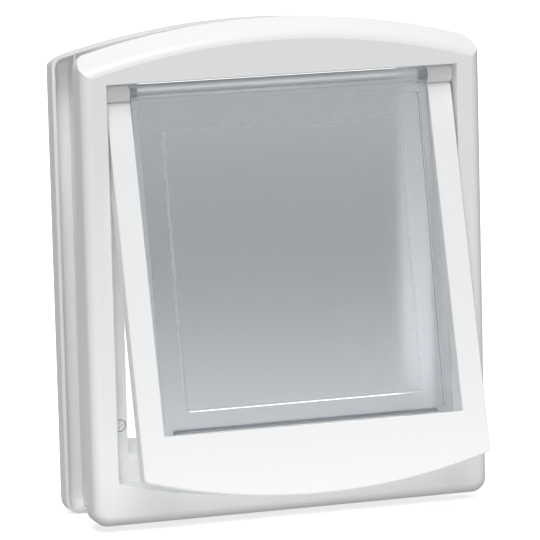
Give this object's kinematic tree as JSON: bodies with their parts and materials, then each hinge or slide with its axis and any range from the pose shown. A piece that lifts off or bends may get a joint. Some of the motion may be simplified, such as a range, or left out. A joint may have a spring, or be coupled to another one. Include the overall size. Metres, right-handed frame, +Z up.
{
  "type": "pet door",
  "caption": "Two-way pet door: arched white frames joined by a telescoping tunnel, with a hinged U-shaped screw cover and a clear flap that swings both ways.",
  "frame": {"origin": "middle of the foot of the inner frame's back rim, in the plane of that rim", "axes": "+Y from the inner frame's back rim into the door leaf, +Z up, X along the hinge line"},
  "size_m": [0.294, 0.1564, 0.3534],
  "materials": {
    "white_plastic": "satin white moulded plastic",
    "smoky_clear_plastic": "clear moulded plastic with a light smoky tint",
    "grey_seal": "soft grey weather strip",
    "white_lacquer": "steel with a white lacquer"
  },
  "bodies": {
    "frame": {"inner_frame": "white_plastic", "outer_frame": "white_plastic", "hinge_pin_left": "white_plastic", "hinge_pin_right": "white_plastic", "frame_screws": "white_lacquer"},
    "cover": {"cover_frame": "white_plastic"},
    "flap": {"flap_panel": "smoky_clear_plastic", "flap_strip": "grey_seal"}
  },
  "joints": [
    {"name": "cover_swing", "type": "hinge", "parent": "frame", "child": "cover", "pos_m": [0, -0.008, 0.3027], "axis": [-1, 0, 0], "range_deg": [-14.4, 75.6]},
    {"name": "flap_swing", "type": "hinge", "parent": "frame", "child": "flap", "pos_m": [0, -0.008, 0.3027], "axis": [-1, 0, 0], "range_deg": [-95.5, 74.5]}
  ]
}
